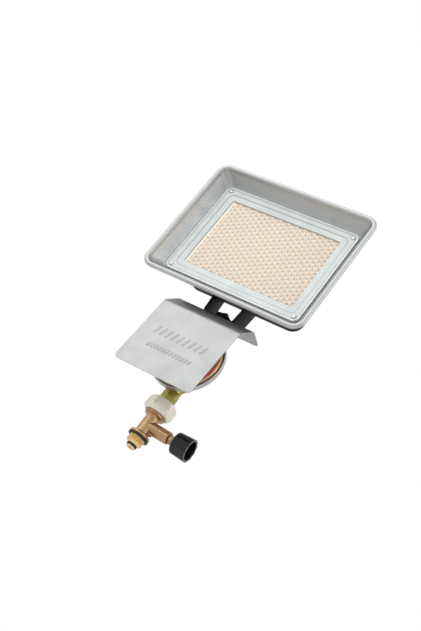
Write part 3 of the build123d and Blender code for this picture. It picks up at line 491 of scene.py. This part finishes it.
def zinc(name, light, dark, tint, rough, corner_colour=(0.14, 0.10, 0.06), metallic=1.0):
    """Plated metal with patches of tint and painted shade in its corners."""
    n = Nodes(name)
    broad = n.noise(120.0, 3.0)
    fine = n.noise(1100.0, 3.0)
    hue = n.noise(55.0, 2.0)
    colour = n.mix(n.span(broad, 0.35, 0.68, 0.0, 1.0), light, dark)
    colour = n.mix(n.span(hue, 0.5, 0.7, 0.0, 0.55), colour, tint)
    # Painted shade: darker in the corners, where the AO node finds nearby surfaces.
    colour = n.mix(n.span(n.crevice(2.5), 0.25, 0.9, 0.0, 0.7), colour, corner_colour)
    n.bump(fine, 0.05, 0.03)
    return n.surface(colour, n.span(broad, 0.3, 0.7, rough - 0.04, rough + 0.12), metallic)


def plastic(name, light, dark, rough, grain=500.0, shine=0.5, lip=None):
    """lip is the colour of a painted highlight round the edge of the knob's mouth."""
    n = Nodes(name)
    fine = n.noise(grain, 3.0)
    broad = n.noise(50.0, 2.0)
    colour = n.mix(n.span(broad, 0.35, 0.7, 0.0, 1.0), light, dark)
    worn = tuple(min(1.0, c * 2.2) for c in light)
    colour = n.mix(n.math("MULTIPLY", n.wear(), 0.4), colour, worn)
    if lip:
        along = n.math("ADD", n.math("MULTIPLY", n.axis(X), math.cos(BRANCH_YAW)),
                       n.math("MULTIPLY", n.axis(Y), math.sin(BRANCH_YAW)))
        mouth = KNOB_END - 0.6
        # Painted highlight: a paler band round the knob's mouth.
        colour = n.mix(n.span(along, mouth * MM, (mouth + 0.3) * MM, 0.0, 1.0), colour, lip)
    n.bump(fine, 0.2, 0.05)
    return n.surface(colour, n.span(fine, 0.3, 0.7, rough - 0.05, rough + 0.08), 0.0, shine)


def fibre():
    n = Nodes("ceramic_fibre")
    hair = n.noise(500.0, 4.0, n.stretched((1, 4, 1)))
    colour = n.mix(hair, (0.82, 0.80, 0.74), (0.70, 0.66, 0.58))
    n.bump(hair, 0.5, 0.2)
    return n.surface(colour, 0.95, 0.0, 0.2)


TRAY = sheet_metal("aluminised_tray", (0.49, 0.495, 0.49), (0.455, 0.46, 0.455),
                   rough=0.42, metallic=0.85, grain=0.03, relief=0.015, zones=tray_zones)
# Painted shade: a near-black sheet for the tray's back, which lies in shadow.
PAINTED_SHADE_BACK = sheet_metal("painted_shade_back", (0.030, 0.030, 0.032), (0.020, 0.019, 0.020),
                   rough=0.6, metallic=0.3)
FRAME = sheet_metal("aluminised_frame", (0.53, 0.56, 0.55), (0.475, 0.505, 0.495),
                    rough=0.42, metallic=0.75, grain=0.15, relief=0.06, zones=frame_zones)
SHIELD = sheet_metal("aluminised_shield", (0.445, 0.452, 0.445), (0.42, 0.43, 0.425),
                     rough=0.44, metallic=0.8, grain=0.15, relief=0.08)
RIVET = sheet_metal("bright_rivet", (0.60, 0.61, 0.60), (0.50, 0.51, 0.50),
                    rough=0.25, metallic=0.95, grain=0.1, relief=0.03)

BRASS = cast_brass("cast_brass", (0.55, 0.37, 0.20), (0.38, 0.23, 0.11), (0.10, 0.045, 0.015),
                   rough=0.36, bright=(0.86, 0.60, 0.30), brown=(0.42, 0.25, 0.14), dirt=0.35)
TURNED = cast_brass("turned_brass", (0.36, 0.25, 0.14), (0.25, 0.155, 0.075),
                    (0.08, 0.035, 0.015), rough=0.3)
BRONZE = cast_brass("blackened_bronze", (0.20, 0.155, 0.105), (0.08, 0.06, 0.04),
                    (0.02, 0.015, 0.01), rough=0.26)

NUT = zinc("zinc_nut", (0.88, 0.87, 0.72), (0.80, 0.77, 0.64), (0.68, 0.58, 0.51),
           rough=0.28, metallic=0.3)
RING = zinc("zinc_ring", (0.56, 0.57, 0.55), (0.46, 0.48, 0.46), (0.54, 0.43, 0.42), rough=0.27)
CHROMATE = zinc("yellow_chromate", (0.46, 0.38, 0.12), (0.32, 0.26, 0.06), (0.30, 0.33, 0.13),
                rough=0.27, corner_colour=(0.06, 0.045, 0.01))
COVER = zinc("yellow_chromate_cover", (0.52, 0.44, 0.24), (0.42, 0.34, 0.16), (0.38, 0.37, 0.20),
             rough=0.33, corner_colour=(0.08, 0.06, 0.02))
STEEL = zinc("bright_steel", (0.62, 0.62, 0.62), (0.50, 0.50, 0.50), (0.55, 0.54, 0.50), rough=0.28)

KNOB = plastic("black_nylon", (0.010, 0.010, 0.011), (0.006, 0.006, 0.007),
               rough=0.26, shine=0.4, lip=(0.10, 0.10, 0.105))
RED = plastic("red_cap_plastic", (0.27, 0.013, 0.012), (0.20, 0.009, 0.009), rough=0.32)
RUBBER = plastic("black_rubber", (0.014, 0.013, 0.013), (0.009, 0.009, 0.009),
                 rough=0.6, grain=800.0)
AMBER = plastic("yellow_acetal", (0.60, 0.45, 0.10), (0.52, 0.38, 0.08), rough=0.45)

FIBRE = fibre()
PAINT = painted_black()
CERAMIC = plaque_ceramic()


# ------------------------------------------------------------------ burner head
def reflector_tray():
    """Floor, sloping walls and a rolled rim, pressed from one sheet, with painted shade on its back.
    """
    sheet = SHEET_BACK - SHEET_FRONT
    foot, foot_r, rim_r = 0.15, 6.1, 8.0
    wall_w, wall_d, wall_steps = 8.4, 12.6, 6
    normal_out, normal_back = 0.83, 0.55  # from the wall's front to its back
    roll, roll_middle, roll_turn, roll_steps = 2.5, 11.2, 316.8, 24

    def wall(k, depth=0.0):
        """A point of the wall, depth behind its front."""
        s = k / wall_steps
        return (foot + wall_w * s + depth * normal_out, FOOT_Y - wall_d * s + depth * normal_back,
                foot_r + (rim_r - foot_r) * s + depth)

    outline = [(-8.4, SHEET_FRONT, 14.0), (-5.0, SHEET_FRONT, 12.0), (-1.4, SHEET_FRONT, 6.8),
               (-0.5, -34.6, 6.3), (foot, FOOT_Y, foot_r)]
    outline += [wall(k) for k in range(1, wall_steps)]
    for k in range(roll_steps + 1):
        a = math.radians(180 + roll_turn * k / roll_steps)
        out = roll_middle + roll * math.cos(a)
        outline.append((out, RIM_Y + roll * math.sin(a), rim_r + out - (roll_middle - roll)))
    outline += [wall(k, sheet) for k in range(wall_steps - 1, 0, -1)]
    outline += [(0.8, SHEET_FRONT, 6.9), (-0.1, -33.75, 6.6), (-1.0, SHEET_BACK, 7.0),
                (-5.0, SHEET_BACK, 12.0), (-8.4, SHEET_BACK, 14.0)]
    verts, faces = pressed_sheet(FOOT_HALF, outline)
    tray = make("reflector_tray_sheet", verts, faces, "head", TRAY,
                "reflector_tray", 50)
    tray.data.materials.append(PAINTED_SHADE_BACK)
    # The back faces take the painted shade.
    for face in tray.data.polygons:
        if face.normal.y > 0.3 and face.center.y > (RIM_Y + 2.0) * MM:
            face.material_index = 1


def frame_sheet():
    """Raised outer bead, flat land, pressed step and the lip round the window."""
    step = STEP_HALF_W - FRAME_HALF[0]
    window = WINDOW_HALF_W - FRAME_HALF[0]
    bead, land, low = -36.0, -35.2, -34.5
    outline = [(0, SHEET_FRONT, 6.0), (0, -35.4, 6.0), (-0.2, -35.85, 5.9), (-0.6, bead, 5.6),
               (-1.6, bead, 5.0), (-2.2, -35.8, 4.6), (-2.9, -35.35, 4.2), (-3.6, land, 4.4),
               (-5.5, land, 8.0), (step + 0.8, land, 6.6), (step + 0.3, -35.1, 6.4),
               (step, -34.9, 6.2), (step - 0.3, -34.6, 6.1), (step - 0.8, low, 5.7),
               (-12.0, low, 4.0), (window + 0.4, low, 1.9), (window, -34.3, 1.5),
               (window, SHEET_BACK, 1.5), (step - 0.1, SHEET_BACK, 13.9), (step, -33.7, 14.0),
               (step, SHEET_FRONT, 14.0), (-4.0, SHEET_FRONT, 6.0)]
    verts, faces = pressed_sheet(FRAME_HALF, outline)
    make("frame_sheet", verts, faces, "head", FRAME, "frame_plate", 50)


def pattern_depth(x, z):
    """How far the plaque's front lies below its ridges, with the pores at a third of their pitch."""
    right, half_h = 63.5, 43.5
    ridge_foot, ridge_rise, pore_depth = 0.45, 0.75, 0.5
    wave = 2 * math.pi / RIDGE_PITCH
    turns = [math.radians(60 * k) for k in range(3)]
    phases = [wave * math.cos(a) * x + wave * math.sin(a) * z for a in turns]
    ridge = max(0.0, (max(math.cos(a) for a in phases) - ridge_foot) / (1.0 - ridge_foot))
    pore = max(0.0, sum(math.cos(3 * a) for a in phases) - 1.0) / 2.0
    inside = min(1.0, max(0.0, (min(right - x, x - PATTERN_LEFT, half_h - abs(z)) + 1.0)))
    return inside * (ridge_rise * (1.0 - ridge ** 1.5) + pore_depth * pore)


def ceramic_face():
    """The plaque: a fine grid of depths in front, on a plain block."""
    spacing = 0.405
    edge_y, crest_y, back = -33.5, -33.38, -20.6
    width, height = PLAQUE_SIZE
    nx, nz = int(width / spacing), int(height / spacing)
    verts = []
    for j in range(nz + 1):
        z = -height / 2 + height * j / nz
        for i in range(nx + 1):
            x = -width / 2 + width * i / nx
            edge = i in (0, nx) or j in (0, nz)
            y = edge_y if edge else crest_y + max(0.0, pattern_depth(x, z))
            verts.append((x, y, HEAD_Z + z))
    faces = grid_faces(nx + 1, nz + 1)
    border = grid_border(nx + 1, nz + 1)
    base, m = len(verts), len(border)
    verts += [(verts[k][0], back, verts[k][2]) for k in border]
    faces += [(border[k], base + k, base + (k + 1) % m, border[(k + 1) % m]) for k in range(m)]
    faces.append(tuple(range(base, base + m)))
    make("ceramic_face", verts, faces, "head", CERAMIC, "ceramic_plaque", 60)


# ------------------------------------------------------------------ heat shield
def fold(start, run, next_run, radius, bend, steps=8):
    """Points with their directions round a fold that begins at start."""
    inward = Vector((run.y, -run.x))
    if inward.dot(next_run) < 0:
        inward = -inward
    centre = start + inward * radius
    points = []
    for i in range(1, steps + 1):
        a = bend * i / steps
        place = centre + (run * math.sin(a) - inward * math.cos(a)) * radius
        points.append((place, run * math.cos(a) + inward * math.sin(a)))
    return points


def shield_line():
    """The shield's side line as (y, z, direction) from the flange's back to the lower edge."""
    fold_radii = (4.0, 8.0)
    spacing = 0.7
    flange_back, flange_front, flange_z = -3.1, -25.9, 134.6
    face_y, face_z, low_z = -44.8, 117.6, 40.5
    low_y = face_y - (face_z - low_z) * math.tan(SHIELD_TILT)
    corners = [Vector(c) for c in ((flange_back, flange_z), (flange_front, flange_z),
                                   (face_y, face_z), (low_y, low_z))]
    runs = [(b - a).normalized() for a, b in zip(corners, corners[1:])]
    line = [(corners[0], runs[0])]
    for k, run in enumerate(runs):
        folded = k < len(fold_radii)
        bend = run.angle(runs[k + 1]) if folded else 0.0
        radius = fold_radii[k] if folded else 0.0
        cut = radius * math.tan(bend / 2)
        start, stop = line[-1][0], corners[k + 1] - run * cut
        count = max(1, int((stop - start).length / spacing))
        line += [(start + (stop - start) * i / count, run) for i in range(1, count + 1)]
        if folded:
            line += fold(stop, run, runs[k + 1], radius, bend)
    return [(p.x, p.y, (d.x, d.y)) for p, d in line]


def rib_height(x, z):
    """How far two rows of plain slanted pressed ribs stand out of the shield at x and z."""
    lean = math.radians(20)
    rise, reach, end = 0.6, 1.15, 0.9
    h = 0.0
    for row_z, count, pitch, length in ((85.0, 9, 6.6, 9.5), (67.5, 12, 4.2, 5.0)):
        dz = z - row_z
        if abs(dz) > length:
            continue
        half = (length / 2 - end) * math.cos(lean)
        cz = max(-half, min(half, dz))
        for k in range(count):
            dx = x - ((k - (count - 1) / 2) * pitch + cz * math.tan(lean))
            d = math.hypot(dx * math.cos(lean), dz - cz)
            h = max(h, rise * max(0.0, 1.0 - (d / reach) ** 2) ** 0.7)
    return h


def heat_shield():
    """The bent sheet with rounded corners, as a front and a back grid along its side line."""
    half, sheet, nx = 43.6, 1.0, 144
    top_r, low_r = 3.0, 4.0
    line = shield_line()
    run = [0.0]
    for a, b in zip(line, line[1:]):
        run.append(run[-1] + math.hypot(b[0] - a[0], b[1] - a[1]))
    front, back = [], []
    for (y, z, (dy, dz)), s in zip(line, run):
        inset = 0.0
        for edge, r in ((s, top_r), (run[-1] - s, low_r)):
            if edge < r:
                inset = r - math.sqrt(max(0.0, r * r - (r - edge) ** 2))
        hw = half - inset
        for i in range(nx + 1):
            x = -hw + 2 * hw * i / nx
            h = rib_height(x, z)
            front.append((x, y + dz * h, z - dy * h))
            back.append((x, y - dz * (sheet - h), z + dy * (sheet - h)))
    off = len(front)
    faces = grid_faces(nx + 1, len(line))
    faces += [tuple(off + v for v in reversed(face)) for face in faces]
    border = grid_border(nx + 1, len(line))
    faces += [(a, b, off + b, off + a) for a, b in zip(border, border[1:] + border[:1])]
    make("heat_shield_sheet", front + back, faces, "head", SHIELD,
         "heat_shield", 50)


# ------------------------------------------------------------------ regulator
def crimp_ring():
    """A band with its edges rolled in behind the body's rim and over the cover's."""
    outer, wall, lip, inner = 36.0, 35.2, 34.2, 33.3
    back, front = -15.05, -20.55
    behind, over = back - 0.75, front + 0.7
    outline = [(inner, back), (outer, back), (outer, front), (lip, front), (lip, over),
               (wall, over), (wall, behind), (inner, behind)]
    verts, faces = spin(soften(outline, 0.45), 160)
    make("crimp_ring_band", placed(verts, ABOUT_Y), faces, "head", RING,
         "crimp_ring", 40)


def regulator_cover():
    """A flange under the ring, a conical band, and a chimney for the spring."""
    flange, flange_back, flange_front = 35.0, -18.6, -19.6
    band, band_front = 33.9, -20.6
    chimney_out, chimney_in, chimney_front = 12.6, 10.9, -31.5
    inside = -21.7
    outline = [(flange, flange_back), (flange, flange_front), (band, flange_front),
               (band, band_front), (33.4, -21.2), (33.0, -22.65), (chimney_out, -22.68),
               (chimney_out, chimney_front), (chimney_in, chimney_front), (chimney_in, inside),
               (29.5, inside), (31.5, -18.65)]
    verts, faces = spin(soften(outline, 0.5, 3), 128)
    make("cover_shell", placed(verts, ABOUT_Y), faces, "head", COVER,
         "regulator_cover", 40)


def regulator_cap():
    """A domed cap over the cover, with fine ribs round its side."""
    side, wall = 32.6, 1.5
    seat, edge, crown = -22.7, -26.0, -34.9
    inner_side, inner_edge, inner_crown = side - wall, edge + 0.2, crown + wall
    rib_count, rib_depth = 48, 0.35
    turns = [math.radians(90 * k / 12) for k in range(12)]
    profile = [(side, seat)]
    profile += [(side * math.cos(a), edge + (crown - edge) * math.sin(a)) for a in turns]
    profile += [(0.0, crown), (0.0, inner_crown)]
    profile += [(inner_side * math.cos(a), inner_edge + (inner_crown - inner_edge) * math.sin(a))
                for a in reversed(turns)]
    profile.append((inner_side, seat))

    def ribs(r, h, a):
        if r > side - 1.2 and h < seat - 0.4:
            return r - rib_depth * max(0.0, math.cos(rib_count * a)) ** 2
        return r

    verts, faces = spin(profile, 384, ribs)
    make("cap_dome", placed(verts, ABOUT_Y), faces, "head", RED,
         "regulator_cap", 45)


def range_spring():
    """The regulator's spring, given a mesh of its own; the real spring grows shorter as the
    diaphragm travels.
    """
    spring = copy_of("regulator_spring", "range_spring")
    finish_piece(spring, "head", STEEL, "regulator_spring", 60)
    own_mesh(spring)


# ------------------------------------------------------------------ valve
def inlet_thread(p):
    """Turn the plain inlet pin into a thread; None leaves a point to the cast skin."""
    low, high, core, outer = -5.6, -0.35, 6.6, 8.0
    pitch, depth = 1.5, 0.85
    r = math.hypot(p.x, p.y)
    if not (low < p.z < high and r > core):
        return None
    t = (p.z / pitch - math.atan2(p.y, p.x) / (2 * math.pi)) % 1.0
    groove = abs(2 * t - 1)
    fade = min(1.0, (p.z - low) / 0.8, (high - p.z) / 0.5)
    new = min(r, outer - depth * groove * max(0.0, fade))
    return Vector((p.x * new / r, p.y * new / r, p.z))


def knob():
    """A fluted cup with a rolled lip and a hub for its screw."""
    start, end = KNOB_START, KNOB_END
    hub, hub_hole, floor, hub_front = 4.0, 2.1, end - 8.3, end - 6.1
    flute_count, flute_half, flute_depth, flute_start = 10, 0.17, 0.85, start + 2.2
    outline = [(hub_hole, start), (10.0, start), (10.6, start + 0.7), (10.75, start + 3.0),
               (11.5, end - 0.8), (11.3, end), (9.7, end), (9.3, end - 0.5), (9.2, floor),
               (hub, floor), (hub, hub_front), (hub_hole, hub_front)]
    profile = []
    corners = soften(outline, 0.5, 3)
    for a, b in zip(corners, corners[1:] + corners[:1]):
        n = max(1, int(math.hypot(b[0] - a[0], b[1] - a[1])))
        profile += [(a[0] + (b[0] - a[0]) * k / n, a[1] + (b[1] - a[1]) * k / n) for k in range(n)]

    def flutes(r, h, a):
        phase = (a * flute_count / (2 * math.pi)) % 1.0 - 0.5
        if r < 10.0 or h < flute_start or abs(phase) >= flute_half:
            return r
        depth = flute_depth * math.sqrt(1.0 - (phase / flute_half) ** 2)
        return r - depth * min(1.0, (h - flute_start) / 1.5)

    verts, faces = spin(profile, 300, flutes)
    make("knob_cup", placed(verts, ALONG_BRANCH), faces, "spindle_set", KNOB,
         "knob", 40)


def union_nut():
    """The hexagon with a notch cut across each corner, the mark of a left-hand thread."""
    notch_z, notch_bottom, outside, half = 35.4, 13.9, 15.6, 0.9
    nut = broken_edges("union_nut", "union_nut_hex", 0.35)
    groove = [(notch_bottom, notch_z), (outside, notch_z + half), (outside, notch_z - half)]
    cutter = mesh_object("notch_ring", *spin(groove, 180))
    with edited(cutter.data) as bm:
        bmesh.ops.recalc_face_normals(bm, faces=bm.faces)
    cut = nut.modifiers.new("notches", "BOOLEAN")
    cut.operation = "DIFFERENCE"
    cut.solver = "EXACT"
    cut.object = cutter
    applied(nut)
    bpy.data.objects.remove(cutter)
    finish_piece(nut, "nut", NUT, "union_nut", 32)


def seat_washer():
    inner, outer, height = 7.65, 10.4, 1.8
    outline = [(inner, 0), (outer, 0), (outer, height), (inner, height)]
    verts, faces = spin(soften(outline, 0.35))
    make("seat_washer", verts, faces, "valve", RUBBER, "inlet_washer", 40)


# ------------------------------------------------------------------ all pieces
reflector_tray()
frame_sheet()
ceramic_face()
heat_shield()
crimp_ring()
regulator_cover()
regulator_cap()
knob()
cast("valve_body", "valve_casting", "valve", BRASS,
     voxel=0.25, rough=0.05, soft=3, shift=inlet_thread)
cast("regulator_body", "regulator_casting", "head", CHROMATE,
     voxel=0.45, rough=0.06, soft=2)
union_nut()
machined("inlet_stem", "stem_hex", "head", CHROMATE, 0.25)
machined("gland_nut", "gland_hex", "valve", TURNED, 0.2)
machined("jet_holder", "jet_hex", "head", BRONZE, 0.3)
machined("bracket", "bracket_strip", "head", PAINT, 0.4)
machined("burner_pan", "burner_housing", "head", PAINT, 0.3)
range_spring()
seat_washer()

carried_over = {
    RUBBER: ("tip_o_ring", "seat_pad", "gland_packing", "union_seal", "diaphragm", "valve_pad"),
    TURNED: ("pad_holder", "spindle", "inlet_nozzle", "diaphragm_stem", "injector"),
    STEEL: ("knob_screw", "inlet_filter", "diaphragm_plate", "spring_plate", "lever",
            "lever_pin", "jet_washer"),
    AMBER: ("adjusting_screw",),
    RIVET: ("frame_rivets",),
    FIBRE: ("plaque_gasket",),
    TRAY: ("distributor_plate", "mixing_tube"),
}
for mat, nodes in carried_over.items():
    for node in nodes:
        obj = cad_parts[node]
        obj.data.materials.clear()
        obj.data.materials.append(mat)


# ------------------------------------------------------------------ studio
def studio_floor():
    half, floor_z = 6000, -1100
    corners = [(-half, -half, floor_z), (half, -half, floor_z), (half, half, floor_z),
               (-half, half, floor_z)]
    floor = mesh_object("studio_floor", corners, [(0, 1, 2, 3)])
    n = Nodes("studio_paper")
    paper = n.mix(n.noise(3.0, 2.0), (0.86, 0.86, 0.855), (0.84, 0.84, 0.835))
    floor.data.materials.append(n.surface(paper, 0.9, 0.0, 0.2))


def studio_world():
    """Soft light that is brighter from above, behind a plain white background."""
    world = bpy.data.worlds.new("studio")
    bpy.context.scene.world = world
    world.use_nodes = True
    tree = world.node_tree
    tree.nodes.clear()
    out = tree.nodes.new("ShaderNodeOutputWorld")
    coord = tree.nodes.new("ShaderNodeTexCoord")
    split = tree.nodes.new("ShaderNodeSeparateXYZ")
    span = tree.nodes.new("ShaderNodeMapRange")
    ramp = tree.nodes.new("ShaderNodeValToRGB")
    lit = tree.nodes.new("ShaderNodeBackground")
    seen = tree.nodes.new("ShaderNodeBackground")
    path = tree.nodes.new("ShaderNodeLightPath")
    mixer = tree.nodes.new("ShaderNodeMixShader")
    span.inputs["From Min"].default_value = -1.0
    low, high = ramp.color_ramp.elements
    low.position = 0.15
    low.color = (0.62, 0.62, 0.62, 1)
    high.position = 0.85
    high.color = (0.86, 0.86, 0.87, 1)
    seen.inputs["Color"].default_value = (1.0, 1.0, 1.0, 1)
    tree.links.new(coord.outputs["Generated"], split.inputs[0])
    tree.links.new(split.outputs[Z], span.inputs[0])
    tree.links.new(span.outputs[0], ramp.inputs[0])
    tree.links.new(ramp.outputs[0], lit.inputs["Color"])
    tree.links.new(path.outputs["Is Camera Ray"], mixer.inputs[0])
    tree.links.new(lit.outputs[0], mixer.inputs[1])
    tree.links.new(seen.outputs[0], mixer.inputs[2])
    tree.links.new(mixer.outputs[0], out.inputs[0])


def area_light(name, direction, distance, size, power):
    """A round lamp aimed at the heater's middle; metres and watts."""
    light = bpy.data.lights.new(name, "AREA")
    light.shape = "DISK"
    light.size = size
    light.energy = power
    lamp = bpy.data.objects.new(name, light)
    bpy.context.scene.collection.objects.link(lamp)
    target = Vector((0, -0.02, 0.14))
    lamp.location = target + Vector(direction).normalized() * distance
    lamp.rotation_euler = (target - lamp.location).to_track_quat("-Z", "Y").to_euler()


def camera():
    """A camera from below and to the right, given by its axes in the part's frame."""
    right = Vector((0.796119, 0.198383, 0.571698))
    down = Vector((0.364441, 0.597015, -0.714672))
    ahead = Vector((-0.483091, 0.777314, 0.402996))
    place = (0.485423, -0.814525, -0.277505)
    focal_pixels, image_height = 1080.017, 631.0
    data = bpy.data.cameras.new("photo_camera")
    data.sensor_fit = "VERTICAL"
    data.sensor_height = 24.0
    data.lens = focal_pixels / image_height * data.sensor_height
    data.clip_end = 50.0
    cam = bpy.data.objects.new("photo_camera", data)
    bpy.context.scene.collection.objects.link(cam)
    turn = Matrix((right, -down, -ahead)).transposed().to_4x4()
    cam.matrix_world = Matrix.Translation(place) @ turn
    bpy.context.scene.camera = cam


studio_floor()
studio_world()
area_light("key", (-0.48, -0.72, 0.50), distance=1.6, size=1.8, power=9.2)
area_light("side", (0.92, -0.12, 0.40), distance=1.4, size=1.2, power=3.9)
camera()
bpy.context.scene.view_settings.view_transform = "Standard"
